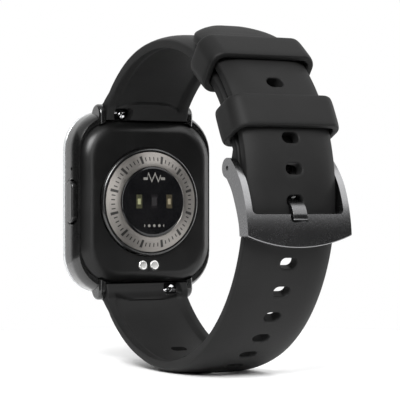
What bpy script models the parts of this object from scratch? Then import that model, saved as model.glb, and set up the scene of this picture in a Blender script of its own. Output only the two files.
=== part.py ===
"""Rectangular smartwatch with its two-piece silicone strap buckled into a loop.

Frame: the origin is the centre of the sensor window's outer face. +Y points out through the
cover glass, -Y towards the wrist, +Z towards 12 o'clock, and the side button is on -X.
"""
import math

import bmesh
import bpy
from mathutils import Matrix, Vector

MM = 0.001

# Case
CASE_WIDTH = 34.0 * MM
CASE_HEIGHT = 40.0 * MM
CASE_CORNER = 9.4 * MM
HOUSING_Y = 2.2 * MM            # flat back of the raised housing
SHOULDER_Y = 3.3 * MM           # wrist side of the back cover's flange
FRAME_BACK_Y = 3.95 * MM
FRAME_FRONT_Y = 9.6 * MM
GLASS_Y = (9.85 * MM, 10.9 * MM)
HOUSING_SIZE = (28.8 * MM, 35.2 * MM)
HOUSING_CORNER = 7.6 * MM
CAVITY_SIZE = (31.4 * MM, 33.6 * MM)
BUTTON_Y = 6.3 * MM
CONTACT_X = 1.42 * MM            # each charging contact, either side of the middle
CONTACT_Z = -13.9 * MM

# Lugs and strap ends
LUG_INNER_X = 10.05 * MM
LUG_THICKNESS = 1.45 * MM
LUG_Y = (3.1 * MM, 8.3 * MM)
LUG_REACH = 21.4 * MM
LUG_TIP_R = 2.2 * MM
BAR_Y = 5.6 * MM
BAR_Z = 19.8 * MM

# Strap: a loop of silicone about one centre line, in polar terms in the YZ plane
LOOP = Vector((0.0, -21.8 * MM, 0.0))
STRAP_WIDTH = 19.8 * MM
SHORT_INNER_R = 31.6 * MM
SHORT_THICKNESS = 2.3 * MM
LONG_INNER_R = (32.3 * MM, 34.85 * MM)
LONG_THICKNESS = 2.5 * MM
LONG_LIFT_DEG = (-75.0, -210.0)   # where the long strap climbs onto the short one
LONG_TIP_DEG = -253.0
ROOT_R = 1.95 * MM
ARC_STEP_DEG = 6.0
HOLE_SIZE = (3.6 * MM, 2.2 * MM)
HOLE_PITCH = 5.93 * MM
TANG_HOLE_DEG = -180.2
HOLES_PAST_TANG = 11             # towards the lug
HOLES_BEFORE_TANG = 4            # towards the tip

# Buckle
PIN = Vector((0.0, -52.9 * MM, 6.4 * MM))
BUCKLE_HALF_WIDTH = 11.6 * MM
ARM_THICKNESS = 1.4 * MM
BAR_BELLY_R = 31.0 * MM

# Keepers
KEEPER_LENGTH = 6.9 * MM
KEEPER_OUTER = (23.9 * MM, 9.6 * MM)
KEEPER_INNER = (20.6 * MM, 6.6 * MM)
KEEPER_R = 34.3 * MM
FIXED_KEEPER_DEG = 152.8
FREE_KEEPER_DEG = 127.4

ALONG_X = (math.radians(90), 0.0, math.radians(90))   # outline in YZ, thickness along X
ALONG_Y = (math.radians(90), 0.0, 0.0)                # outline in XZ, thickness along Y
TURN_X = (0.0, math.radians(90), 0.0)                 # turned axis along +X
TURN_WRIST = (math.radians(90), 0.0, 0.0)             # turned axis along -Y

BLACK_GLOSS = ((0.012, 0.012, 0.013), 0.2, 0.0)
BLACK_MATTE = ((0.016, 0.016, 0.017), 0.55, 0.0)
SILICONE = ((0.028, 0.028, 0.030), 0.6, 0.0)
GUNMETAL = ((0.10, 0.10, 0.11), 0.35, 1.0)
STEEL = ((0.55, 0.55, 0.56), 0.25, 1.0)
SILVER_FILM = ((0.42, 0.40, 0.38), 0.35, 0.8)
GREEN_BOARD = ((0.02, 0.12, 0.06), 0.5, 0.0)
SOFT_SEAL = ((0.05, 0.05, 0.05), 0.8, 0.0)


def clear_scene():
    for item in list(bpy.data.objects):
        bpy.data.objects.remove(item, do_unlink=True)


def collection(name):
    group = bpy.data.collections.new(name)
    bpy.context.scene.collection.children.link(group)
    return group


def material(name, finish):
    colour, roughness, metallic = finish
    made = bpy.data.materials.new(name)
    made.use_nodes = True
    shader = made.node_tree.nodes["Principled BSDF"]
    shader.inputs["Base Color"].default_value = (*colour, 1.0)
    shader.inputs["Roughness"].default_value = roughness
    shader.inputs["Metallic"].default_value = metallic
    return made


# ---- outlines ----------------------------------------------------------------------------

def arc(centre, radius, start, end, step=15.0):
    """Points on a circle from one angle to another, in degrees, ends included."""
    count = max(1, round(abs(end - start) / step))
    angles = [math.radians(start + (end - start) * i / count) for i in range(count + 1)]
    return [(centre[0] + radius * math.cos(a), centre[1] + radius * math.sin(a)) for a in angles]


def rounded_rectangle(width, height, radius, centre=(0.0, 0.0), step=15.0):
    across = width / 2 - radius
    up = height / 2 - radius
    corners = [(across, up, 0), (-across, up, 90), (-across, -up, 180), (across, -up, 270)]
    points = []
    for x, y, start in corners:
        points += arc((centre[0] + x, centre[1] + y), radius, start, start + 90, step)
    return points


# ---- solids ------------------------------------------------------------------------------

def add(name, mesh, group, finish, location=(0.0, 0.0, 0.0), rotation=(0.0, 0.0, 0.0)):
    item = bpy.data.objects.new(name, mesh)
    item.location = location
    item.rotation_euler = rotation
    mesh.materials.clear()
    mesh.materials.append(material(name, finish))
    group.objects.link(item)
    return item


def prism(name, outlines, span, rotation, group, finish, location=(0.0, 0.0, 0.0)):
    """A flat outline, with any holes in it, filled and extruded over a span of its normal."""
    curve = bpy.data.curves.new(name, "CURVE")
    curve.dimensions = "2D"
    curve.fill_mode = "BOTH"
    curve.extrude = abs(span[1] - span[0]) / 2
    curve.render_resolution_u = 0
    for outline in outlines:
        spline = curve.splines.new("POLY")
        spline.points.add(len(outline) - 1)
        spline.use_cyclic_u = True
        for point, (x, y) in zip(spline.points, outline):
            point.co = (x, y, 0.0, 1.0)
    drawn = bpy.data.objects.new(name + ".outline", curve)
    drawn.rotation_euler = rotation
    group.objects.link(drawn)
    bpy.context.view_layer.update()
    normal = drawn.matrix_world.to_3x3() @ Vector((0.0, 0.0, 1.0))
    middle = (span[0] + span[1]) / 2
    along = Vector([abs(c) for c in normal]) * middle + Vector(location)
    evaluated = drawn.evaluated_get(bpy.context.evaluated_depsgraph_get())
    mesh = bpy.data.meshes.new_from_object(evaluated)
    weld_mesh(mesh)
    bpy.data.objects.remove(drawn, do_unlink=True)
    return add(name, mesh, group, finish, along, rotation)


def weld_mesh(mesh):
    shape = bmesh.new()
    shape.from_mesh(mesh)
    bmesh.ops.remove_doubles(shape, verts=shape.verts, dist=1e-6)
    bmesh.ops.recalc_face_normals(shape, faces=shape.faces)
    shape.to_mesh(mesh)
    shape.free()


def plate(name, size, corner, span, group, finish, centre=(0.0, 0.0), holes=()):
    """A rounded rectangle in the XZ plane that fills a span of Y."""
    outline = rounded_rectangle(size[0], size[1], corner, centre)
    return prism(name, [outline, *holes], span, ALONG_Y, group, finish)


def turned(name, profile, rotation, location, group, finish, steps=24, ring=False):
    """A profile of (radius, height) points, top to bottom down its outer side, turned full circle."""
    mesh = bpy.data.meshes.new(name)
    edges = [(i, i + 1) for i in range(len(profile) - 1)]
    if ring:
        edges.append((len(profile) - 1, 0))
    mesh.from_pydata([(r, 0.0, z) for r, z in profile], edges, [])
    item = add(name, mesh, group, finish, location, rotation)
    screw = item.modifiers.new("Turn", "SCREW")
    screw.axis = "Z"
    screw.angle = math.tau
    screw.steps = steps
    screw.render_steps = steps
    screw.use_merge_vertices = True
    screw.merge_threshold = 1e-6
    screw.use_smooth_shade = True
    return item


def rod(name, radius, span, centre, group, finish, steps=16):
    """A round rod along X, over a span of X, about a centre in the YZ plane."""
    profile = [(0.0, span[1]), (radius, span[1]), (radius, span[0]), (0.0, span[0])]
    return turned(name, profile, TURN_X, (0.0, *centre), group, finish, steps)


def box(name, low, high, group, finish=BLACK_MATTE):
    shape = bmesh.new()
    bmesh.ops.create_cube(shape, size=1.0)
    size = Vector(high) - Vector(low)
    bmesh.ops.scale(shape, vec=size, verts=shape.verts)
    mesh = bpy.data.meshes.new(name)
    shape.to_mesh(mesh)
    shape.free()
    return add(name, mesh, group, finish, (Vector(low) + Vector(high)) / 2)


def soften(item, width, segments=2):
    """Round the sharp rims of a solid."""
    bevel = item.modifiers.new("Rim", "BEVEL")
    bevel.width = width
    bevel.segments = segments
    bevel.limit_method = "ANGLE"
    bevel.angle_limit = math.radians(40)


def boolean(item, tool, operation="DIFFERENCE"):
    tool.display_type = "WIRE"
    tool.hide_render = True
    step = item.modifiers.new(tool.name, "BOOLEAN")
    step.operation = operation
    step.solver = "EXACT"
    step.object = tool


# ---- case --------------------------------------------------------------------------------

def middle_frame(parts, cutters):
    frame = plate("middle_frame", (CASE_WIDTH, CASE_HEIGHT), CASE_CORNER,
                  (FRAME_BACK_Y, FRAME_FRONT_Y), parts, BLACK_GLOSS)
    soften(frame, 1.5 * MM, 3)
    for side in (-1, 1):
        for end in (-1, 1):
            boolean(frame, lug(side, end, cutters), "UNION")
    seat = box("cut_cover_seat", (-20 * MM, 0.0, -17.85 * MM), (20 * MM, FRAME_BACK_Y, 17.85 * MM),
               cutters)
    boolean(frame, seat)
    cavity = plate("cut_cavity", CAVITY_SIZE, 5.0 * MM, (0.0, 8.8 * MM), cutters, BLACK_MATTE)
    boolean(frame, cavity)
    ledge = plate("cut_ledge", (31.9 * MM, 37.9 * MM), 8.4 * MM, (8.75 * MM, 12 * MM),
                  cutters, BLACK_MATTE)
    boolean(frame, ledge)
    for end in (-1, 1):
        low, high = sorted((end * 17.65 * MM, end * 24 * MM))
        pocket = box(f"cut_pocket{end}", (-LUG_INNER_X, 0.0, low), (LUG_INNER_X, 8.35 * MM, high),
                     cutters)
        boolean(frame, pocket)
        bore = rod(f"cut_bar_bore{end}", 0.5 * MM, (-11.0 * MM, 11.0 * MM), (BAR_Y, end * BAR_Z),
                   cutters, BLACK_MATTE)
        boolean(frame, bore)
    boolean(frame, button_hole(cutters))
    mic = rod("cut_mic", 0.35 * MM, (-20 * MM, -14 * MM), (5.4 * MM, 7.4 * MM), cutters,
              BLACK_MATTE, 12)
    boolean(frame, mic)
    return frame


def lug(side, end, cutters):
    """One rounded lug, a slice of the YZ plane that stands out of the frame's end."""
    tip = (LUG_Y[0] + LUG_TIP_R, LUG_REACH - LUG_TIP_R)
    outline = [(LUG_Y[0], 14 * MM), (LUG_Y[1], 14 * MM), (LUG_Y[1], 17.6 * MM)]
    outline += arc(tip, LUG_TIP_R, 40, 180)
    outline = [(y, end * z) for y, z in outline]
    inner = side * (LUG_INNER_X - 0.4 * MM)
    outer = side * (LUG_INNER_X + LUG_THICKNESS)
    item = prism(f"add_lug{side}{end}", [outline], sorted((inner, outer)), ALONG_X, cutters,
                 BLACK_GLOSS)
    return item


def button_hole(cutters):
    return prism("cut_button", [rounded_rectangle(3.5 * MM, 9.8 * MM, 1.7 * MM, (BUTTON_Y, 0.0))],
                 (-20 * MM, -14 * MM), ALONG_X, cutters, BLACK_MATTE)


def side_button(parts, cutters):
    cap = prism("side_button", [rounded_rectangle(2.9 * MM, 9.1 * MM, 1.4 * MM, (BUTTON_Y, 0.0))],
                (-17.45 * MM, -15.9 * MM), ALONG_X, parts, BLACK_GLOSS)
    soften(cap, 0.25 * MM)
    stem = rod("add_button_stem", 0.6 * MM, (-16.2 * MM, -15.05 * MM), (BUTTON_Y, 0.0), cutters,
               BLACK_GLOSS, 12)
    boolean(cap, stem, "UNION")
    seal = [(1.0 * MM, 0.2 * MM), (1.0 * MM, -0.2 * MM), (0.7 * MM, -0.2 * MM),
            (0.7 * MM, 0.2 * MM)]
    turned("button_seal", seal, TURN_X, (-15.3 * MM, BUTTON_Y, 0.0), parts, SOFT_SEAL, 16, True)
    box("button_switch", (-14.7 * MM, 5.3 * MM, -1.6 * MM), (-13.75 * MM, 7.15 * MM, 1.6 * MM),
        parts, STEEL)


def display(parts):
    glass = plate("cover_glass", (33.4 * MM, 39.4 * MM), 9.1 * MM, GLASS_Y, parts, BLACK_GLOSS)
    soften(glass, 0.35 * MM)
    ring = rounded_rectangle(29.4 * MM, 35.6 * MM, 6.6 * MM)
    plate("display_gasket", (31.4 * MM, 37.4 * MM), 8.1 * MM, (9.0 * MM, 9.6 * MM), parts,
          SOFT_SEAL, holes=(ring,))
    plate("display_panel", (28.6 * MM, 32.6 * MM), 4.5 * MM, (8.3 * MM, 9.6 * MM), parts,
          BLACK_GLOSS)


def inner_parts(parts, cutters):
    """What the case holds between the display and the back cover."""
    carrier = plate("inner_carrier", (30.4 * MM, 32.4 * MM), 4.5 * MM, (7.4 * MM, 8.05 * MM),
                    parts, BLACK_MATTE)
    boolean(carrier, plate("cut_flex_slot", (9 * MM, 1.6 * MM), 0.5 * MM, (7 * MM, 9 * MM),
                           cutters, BLACK_MATTE, (0.0, 14.0 * MM)))
    plate("main_board", (27.0 * MM, 31.6 * MM), 4.0 * MM, (6.35 * MM, 7.1 * MM), parts,
          GREEN_BOARD)
    plate("battery", (17.5 * MM, 22.0 * MM), 1.2 * MM, (3.95 * MM, 6.05 * MM), parts,
          STEEL, (-2.0 * MM, 4.3 * MM))
    plate("speaker", (9.0 * MM, 6.0 * MM), 1.2 * MM, (4.0 * MM, 6.05 * MM), parts, BLACK_MATTE,
          (6.0 * MM, -12.6 * MM))
    motor = [(0.0, 1.0 * MM), (2.9 * MM, 1.0 * MM), (2.9 * MM, -1.0 * MM), (0.0, -1.0 * MM)]
    turned("vibration_motor", motor, TURN_WRIST, (-7.2 * MM, 5.0 * MM, -12.2 * MM), parts, STEEL)
    plate("microphone", (1.0 * MM, 2.4 * MM), 0.2 * MM, (4.6 * MM, 6.0 * MM), parts, STEEL,
          (-14.6 * MM, 7.4 * MM))
    for name, x, z in (("a", -12.2, 14.0), ("b", 12.2, 14.0), ("c", -12.2, -14.0), ("d", 12.2, -14.0)):
        board_screw(f"board_screw_{name}", x * MM, z * MM, parts)


def board_screw(name, x, z, parts):
    head = [(0.0, 0.55 * MM), (1.0 * MM, 0.55 * MM), (1.0 * MM, 0.0), (0.0, 0.0)]
    turned(name, head, TURN_WRIST, (x, 6.1 * MM, z), parts, STEEL, 12)


def back_cover(parts, cutters):
    """Flange that closes the frame, with the raised matte housing moulded on it."""
    flange = plate("back_cover", (31.6 * MM, 35.2 * MM), 8.6 * MM, (SHOULDER_Y, 3.7 * MM), parts,
                   BLACK_MATTE)
    raised = plate("add_housing", HOUSING_SIZE, HOUSING_CORNER, (HOUSING_Y, 3.6 * MM), cutters,
                   BLACK_MATTE)
    soften(raised, 0.9 * MM, 3)
    boolean(flange, raised, "UNION")
    hollow = plate("cut_housing", (26.0 * MM, 32.0 * MM), 5.5 * MM, (3.0 * MM, 4.5 * MM), cutters,
                   BLACK_MATTE)
    boolean(flange, hollow)
    well = turned("cut_sensor_well",
                  [(0.0, 1 * MM), (12.05 * MM, 1 * MM), (12.05 * MM, -5 * MM), (0.0, -5 * MM)],
                  TURN_WRIST, (0.0, HOUSING_Y, 0.0), cutters, BLACK_MATTE, 48)
    boolean(flange, well)
    for side in (-1, 1):
        hole = turned(f"cut_contact{side}",
                      [(0.0, 1 * MM), (1.2 * MM, 1 * MM), (1.2 * MM, -3 * MM), (0.0, -3 * MM)],
                      TURN_WRIST, (side * CONTACT_X, HOUSING_Y, CONTACT_Z), cutters,
                      BLACK_MATTE, 20)
        boolean(flange, hole)
    seal = rounded_rectangle(29.4 * MM, 31.6 * MM, 6.5 * MM)
    plate("back_gasket", (30.8 * MM, 33.0 * MM), 7.2 * MM, (3.95 * MM, 4.3 * MM), parts,
          SOFT_SEAL, holes=(seal,))


def sensor(parts):
    """Black bezel, silvered ring and window that stand proud of the housing, and what is behind."""
    bezel = [(11.35 * MM, 0.85 * MM), (11.75 * MM, 0.7 * MM), (11.8 * MM, 0.0),
             (11.8 * MM, -1.0 * MM), (7.0 * MM, -1.0 * MM), (7.0 * MM, -0.4 * MM),
             (11.35 * MM, -0.4 * MM)]
    at = (0.0, HOUSING_Y, 0.0)
    turned("sensor_bezel", bezel, TURN_WRIST, at, parts, BLACK_GLOSS, 48, True)
    ring = [(7.75 * MM, 1.8 * MM), (11.15 * MM, 0.85 * MM), (11.15 * MM, -0.15 * MM),
            (7.75 * MM, -0.15 * MM)]
    turned("sensor_ring", ring, TURN_WRIST, at, parts, SILVER_FILM, 48, True)
    window = [(0.0, 2.2 * MM), (7.2 * MM, 2.2 * MM), (7.6 * MM, 2.0 * MM), (7.6 * MM, -0.15 * MM),
              (0.0, -0.15 * MM)]
    turned("sensor_window", window, TURN_WRIST, at, parts, BLACK_GLOSS, 48)
    plate("sensor_board", (13.0 * MM, 13.0 * MM), 6.2 * MM, (3.35 * MM, 3.65 * MM), parts,
          GREEN_BOARD)
    for name, x, finish in (("green_led", -3.7, STEEL), ("photodiode", 0.0, BLACK_MATTE),
                            ("infrared_led", 3.7, STEEL)):
        low = ((x - 0.8) * MM, 2.6 * MM, -1.5 * MM)
        high = ((x + 0.8) * MM, 3.15 * MM, 1.5 * MM)
        box(name, low, high, parts, finish)


def charging(parts):
    """Two sprung-contact pads and the magnets that hold the charging lead on them."""
    for name, side in (("a", -1), ("b", 1)):
        pad = [(0.0, 0.05 * MM), (0.9 * MM, 0.05 * MM), (1.05 * MM, -0.05 * MM),
               (1.05 * MM, -1.4 * MM), (0.0, -1.4 * MM)]
        turned(f"charge_contact_{name}", pad, TURN_WRIST,
               (side * CONTACT_X, HOUSING_Y, CONTACT_Z), parts, STEEL, 20)
        low = (side * 5.6 * MM - 1.4 * MM, 3.25 * MM, -15.2 * MM)
        high = (side * 5.6 * MM + 1.4 * MM, 3.75 * MM, -13.4 * MM)
        box(f"charge_magnet_{name}", low, high, parts, STEEL)


# ---- strap -------------------------------------------------------------------------------

def polar(radius, degrees):
    """A point of the YZ plane, from its distance and angle about the loop's centre line."""
    angle = math.radians(degrees)
    return (LOOP.y + radius * math.cos(angle), LOOP.z + radius * math.sin(angle))


def strap_root(end):
    """The rolled end round the spring bar, from the wrist side to the outer side of the strap."""
    bar = (BAR_Y, BAR_Z)
    points = [(3.1 * MM, 17.95 * MM), (BAR_Y - 0.4 * MM, BAR_Z - 1.9 * MM)]
    points += arc(bar, ROOT_R, -85, 60, 20)
    if end < 0:
        points = [(y, -z) for y, z in points]
    return points


def short_strap(parts, cutters):
    inner = [polar(SHORT_INNER_R, a) for a in steps(41, 163)]
    outer = [polar(SHORT_INNER_R + SHORT_THICKNESS, a) for a in steps(157, 44)]
    nose = arc((PIN.y, PIN.z), 1.6 * MM, 330, 165, 20)
    outline = inner + nose + outer + list(reversed(strap_root(1)))
    strap = prism("short_strap", [outline], (-STRAP_WIDTH / 2, STRAP_WIDTH / 2), ALONG_X, parts,
                  SILICONE)
    boolean(strap, bar_bore(1, cutters))
    boolean(strap, release_slot(1, cutters))
    boolean(strap, rod("cut_pin_bore", 0.75 * MM, (-12 * MM, 12 * MM), (PIN.y, PIN.z), cutters,
                       SILICONE, 16))
    notch = box("cut_tang_notch", (-2.0 * MM, PIN.y - 4 * MM, PIN.z - 4 * MM),
                (2.0 * MM, PIN.y + 4 * MM, PIN.z + 3.0 * MM), cutters)
    boolean(strap, notch)
    return strap


def long_inner_radius(degrees):
    """The long strap's inner radius grows as it climbs from the bare wrist onto the short strap."""
    start, end = LONG_LIFT_DEG
    share = min(1.0, max(0.0, (degrees - start) / (end - start)))
    return LONG_INNER_R[0] + (LONG_INNER_R[1] - LONG_INNER_R[0]) * share


def steps(start, end):
    count = max(1, round(abs(end - start) / ARC_STEP_DEG))
    return [start + (end - start) * i / count for i in range(count + 1)]


def long_strap(parts, cutters):
    angles = steps(-41, LONG_TIP_DEG)
    inner = [polar(long_inner_radius(a), a) for a in angles]
    back = steps(LONG_TIP_DEG, -44)
    outer = [polar(long_inner_radius(a) + LONG_THICKNESS, a) for a in back]
    outline = inner + outer + list(reversed(strap_root(-1)))
    strap = prism("long_strap", [outline], (-STRAP_WIDTH / 2, STRAP_WIDTH / 2), ALONG_X, parts,
                  SILICONE)
    boolean(strap, bar_bore(-1, cutters))
    boolean(strap, release_slot(-1, cutters))
    for i, angle in enumerate(hole_angles()):
        boolean(strap, strap_hole(i, angle, cutters))
    return strap


def hole_angles():
    """Where the holes are, stepping the same length along the strap both ways from the tang's."""
    angles = [TANG_HOLE_DEG]
    for way, count in ((1, HOLES_PAST_TANG), (-1, HOLES_BEFORE_TANG)):
        angle = TANG_HOLE_DEG
        for _ in range(count):
            middle = long_inner_radius(angle) + LONG_THICKNESS / 2
            angle += way * math.degrees(HOLE_PITCH / middle)
            angles.append(angle)
    return angles


def strap_hole(index, degrees, cutters):
    """A round-ended slot through the strap, its depth along the loop's radius."""
    hole = prism(f"cut_hole_{index}", [rounded_rectangle(*HOLE_SIZE, 1.05 * MM, step=30)],
                 (-4 * MM, 4 * MM), (0.0, 0.0, 0.0), cutters, SILICONE)
    y, z = polar(long_inner_radius(degrees) + LONG_THICKNESS / 2, degrees)
    turn = Matrix.Rotation(math.radians(degrees - 90), 4, "X")
    hole.matrix_world = Matrix.Translation((0.0, y, z)) @ turn
    return hole


def bar_bore(end, cutters):
    return rod(f"cut_strap_bore{end}", 0.95 * MM, (-12 * MM, 12 * MM), (BAR_Y, end * BAR_Z),
               cutters, SILICONE, 16)


def release_slot(end, cutters):
    """The window on the wrist side that the release knob travels in, open towards the case."""
    span = sorted((-end * 4.1 * MM, -end * 8.1 * MM))
    outline = [(1.5 * MM, 16.8 * MM), (1.6 * MM, 18.8 * MM), (5.2 * MM, 20.4 * MM),
               (5.6 * MM, 16.8 * MM)]
    outline = [(y, end * z) for y, z in outline]
    return prism(f"cut_release_slot{end}", [outline], span, ALONG_X, cutters, SILICONE)


def spring_bar(prefix, end, parts, cutters):
    """Quick-release bar: tube, crimped tip, spring and a sliding tip with its knob."""
    side = -end
    centre = (BAR_Y, end * BAR_Z)

    def place(profile, name, finish, ring=False, steps_round=16):
        flipped = [(r, side * x) for r, x in profile]
        if side < 0:
            flipped.reverse()
        return turned(name, flipped, TURN_X, (0.0, *centre), parts, finish, steps_round, ring)

    tube = [(0.8 * MM, 2.6 * MM), (0.8 * MM, -9.5 * MM), (0.55 * MM, -9.5 * MM),
            (0.55 * MM, 2.6 * MM)]
    place(tube, f"{prefix}_bar_tube", STEEL, True)
    fixed = [(0.0, -7.6 * MM), (0.48 * MM, -7.6 * MM), (0.48 * MM, -9.6 * MM),
             (0.42 * MM, -9.7 * MM), (0.42 * MM, -10.8 * MM), (0.0, -10.8 * MM)]
    place(fixed, f"{prefix}_bar_fixed_tip", STEEL)
    sliding = [(0.0, 10.8 * MM), (0.42 * MM, 10.8 * MM), (0.42 * MM, 9.7 * MM),
               (0.78 * MM, 9.5 * MM), (0.78 * MM, 4.9 * MM), (0.45 * MM, 4.9 * MM),
               (0.45 * MM, 0.4 * MM), (0.0, 0.4 * MM)]
    pin = place(sliding, f"{prefix}_release_pin", STEEL)
    lean = math.radians(90 + end * 25)
    knob = turned(f"add_{prefix}_knob",
                  [(0.0, 2.7 * MM), (0.55 * MM, 2.7 * MM), (0.55 * MM, 0.3 * MM), (0.0, 0.3 * MM)],
                  (lean, 0.0, 0.0), (side * 6.1 * MM, *centre), cutters, STEEL, 12)
    boolean(pin, knob, "UNION")
    coil(f"{prefix}_bar_spring", side, centre, parts)


def coil(name, side, centre, parts):
    """The helix that pushes the sliding tip out, inside the tube."""
    turns = 8
    per_turn = 8
    low, high = -7.3 * MM, 0.1 * MM
    curve = bpy.data.curves.new(name, "CURVE")
    curve.dimensions = "3D"
    curve.bevel_depth = 0.09 * MM
    curve.bevel_resolution = 1
    curve.use_fill_caps = True
    curve.render_resolution_u = 0
    spline = curve.splines.new("POLY")
    count = turns * per_turn + 1
    spline.points.add(count - 1)
    for i, point in enumerate(spline.points):
        turn = math.tau * i / per_turn
        x = low + (high - low) * i / (count - 1)
        point.co = (side * x, 0.36 * MM * math.cos(turn), 0.36 * MM * math.sin(turn), 1.0)
    item = bpy.data.objects.new(name, curve)
    item.location = (0.0, *centre)
    curve.materials.append(material(name, STEEL))
    parts.objects.link(item)


# ---- keepers -----------------------------------------------------------------------------

def keeper(name, degrees, parts):
    """A flat-sided rubber loop round both straps, square to the loop's radius."""
    outlines = [rounded_rectangle(*KEEPER_OUTER, 2.8 * MM), rounded_rectangle(*KEEPER_INNER, 1.2 * MM)]
    band = prism(name, outlines, (-KEEPER_LENGTH / 2, KEEPER_LENGTH / 2), (0.0, 0.0, 0.0), parts,
                 SILICONE)
    soften(band, 0.5 * MM)
    y, z = polar(KEEPER_R, degrees)
    band.matrix_world = Matrix.Translation((0.0, y, z)) @ Matrix.Rotation(
        math.radians(degrees - 90), 4, "X") @ Matrix.Rotation(math.radians(90), 4, "X")
    return band


# ---- buckle ------------------------------------------------------------------------------

def buckle_frame(parts, cutters):
    """Two side arms on the pin, joined by the front bar, from one bent profile."""
    boss = arc((PIN.y, PIN.z), 2.0 * MM, 90, -50, 20)
    front = [(-54.2, 8.2), (-56.3, 6.1), (-58.2, 3.5), (-59.4, 0.5), (-60.2, -2.5), (-60.7, -5.5),
             (-60.8, -9.0)]
    back = [(-58.3, -9.0), (-58.0, -5.2), (-57.3, -2.7), (-56.2, -0.3), (-54.7, 2.2), (-52.8, 4.4)]
    points = [(y * MM, z * MM) for y, z in front] + [(y * MM, z * MM) for y, z in back]
    outline = points + list(reversed(boss))
    frame = prism("buckle_frame", [outline], (-BUCKLE_HALF_WIDTH, BUCKLE_HALF_WIDTH), ALONG_X,
                  parts, GUNMETAL)
    inner = BUCKLE_HALF_WIDTH - ARM_THICKNESS
    boolean(frame, box("cut_buckle_window", (-inner, -70 * MM, -2.4 * MM),
                       (inner, -40 * MM, 14 * MM), cutters))
    boolean(frame, box("cut_buckle_back", (-inner, -58.9 * MM, -12 * MM),
                       (inner, -40 * MM, 0.0), cutters))
    boolean(frame, rod("cut_buckle_pivot", 0.5 * MM, (-14 * MM, 14 * MM), (PIN.y, PIN.z),
                       cutters, GUNMETAL, 12))
    notch = box("cut_bar_notch", (-1.85 * MM, -66 * MM, -3.95 * MM), (1.85 * MM, -59.4 * MM, 0.0),
                cutters)
    boolean(frame, notch)
    belly = [(-20 * MM, -20 * MM), (20 * MM, -20 * MM)]
    belly += arc((0.0, BAR_BELLY_R - 8.8 * MM), BAR_BELLY_R, -65, -115, 5)
    boolean(frame, prism("cut_bar_belly", [belly], (-70 * MM, -45 * MM), ALONG_Y, cutters, GUNMETAL))
    return frame


def buckle_tang(parts, cutters):
    """Ring on the pin, and a tongue that passes out through a strap hole onto the bar."""
    eye = arc((PIN.y, PIN.z), 1.4 * MM, -100, 190, 20)
    outer = [(-54.3, 4.9), (-55.1, 2.6), (-55.7, 0.95), (-57.6, 0.45), (-59.2, 0.0),
             (-60.2, -0.9), (-60.75, -2.2), (-60.9, -3.5)]
    inner = [(-59.75, -3.6), (-59.6, -2.2), (-59.3, -1.2), (-58.5, -0.6), (-57.4, -0.45),
             (-55.6, -0.3), (-54.4, 1.6), (-53.4, 4.2)]
    points = [(y * MM, z * MM) for y, z in outer + inner]
    tang = prism("buckle_tang", [points + eye], (-1.55 * MM, 1.55 * MM), ALONG_X, parts, GUNMETAL)
    boolean(tang, rod("cut_tang_eye", 0.75 * MM, (-3 * MM, 3 * MM), (PIN.y, PIN.z), cutters,
                      GUNMETAL, 12))
    return tang


def buckle_bar(parts):
    profile = [(0.0, 11.4 * MM), (0.42 * MM, 11.4 * MM), (0.42 * MM, 10.0 * MM),
               (0.65 * MM, 9.9 * MM), (0.65 * MM, -9.9 * MM), (0.42 * MM, -10.0 * MM),
               (0.42 * MM, -11.4 * MM), (0.0, -11.4 * MM)]
    turned("buckle_bar", profile, TURN_X, tuple(PIN), parts, STEEL, 12)


# ---- what moves together -----------------------------------------------------------------

def axis_empty(name, place, group, members):
    """An empty on a joint's axis that carries the pieces that turn or slide with that joint."""
    pivot = bpy.data.objects.new(name, None)
    pivot.location = place
    group.objects.link(pivot)
    bpy.context.view_layer.update()
    for member in members:
        item = bpy.data.objects[member]
        item.parent = pivot
        item.matrix_parent_inverse = pivot.matrix_world.inverted()


def join_to_axes(parts):
    upper_bar = (0.0, BAR_Y, BAR_Z)
    lower_bar = (0.0, BAR_Y, -BAR_Z)
    axis_empty("upper_bar_axis", upper_bar, parts,
               ["short_strap", "fixed_keeper", "buckle_bar", "upper_bar_tube",
                "upper_bar_fixed_tip", "upper_bar_spring"])
    axis_empty("lower_bar_axis", lower_bar, parts,
               ["long_strap", "lower_bar_tube", "lower_bar_fixed_tip", "lower_bar_spring"])
    axis_empty("upper_release_axis", upper_bar, parts, ["upper_release_pin"])
    axis_empty("lower_release_axis", lower_bar, parts, ["lower_release_pin"])
    axis_empty("buckle_axis", tuple(PIN), parts, ["buckle_frame"])
    axis_empty("tang_axis", tuple(PIN), parts, ["buckle_tang"])
    axis_empty("keeper_axis", tuple(LOOP), parts, ["free_keeper"])
    axis_empty("button_axis", (-CASE_WIDTH / 2, BUTTON_Y, 0.0), parts, ["side_button"])


def build():
    clear_scene()
    parts = collection("smartwatch")
    cutters = collection("cutters")
    display(parts)
    middle_frame(parts, cutters)
    side_button(parts, cutters)
    inner_parts(parts, cutters)
    back_cover(parts, cutters)
    sensor(parts)
    charging(parts)
    short_strap(parts, cutters)
    long_strap(parts, cutters)
    for prefix, end in (("upper", 1), ("lower", -1)):
        spring_bar(prefix, end, parts, cutters)
    keeper("fixed_keeper", FIXED_KEEPER_DEG, parts)
    keeper("free_keeper", FREE_KEEPER_DEG, parts)
    buckle_frame(parts, cutters)
    buckle_tang(parts, cutters)
    buckle_bar(parts)
    join_to_axes(parts)


build()
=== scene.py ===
"""Rectangular smartwatch, its silicone strap buckled into a loop, seen from the sensor side."""
import math

import bmesh
import bpy
import numpy as np
from mathutils import Matrix, Vector

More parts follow.
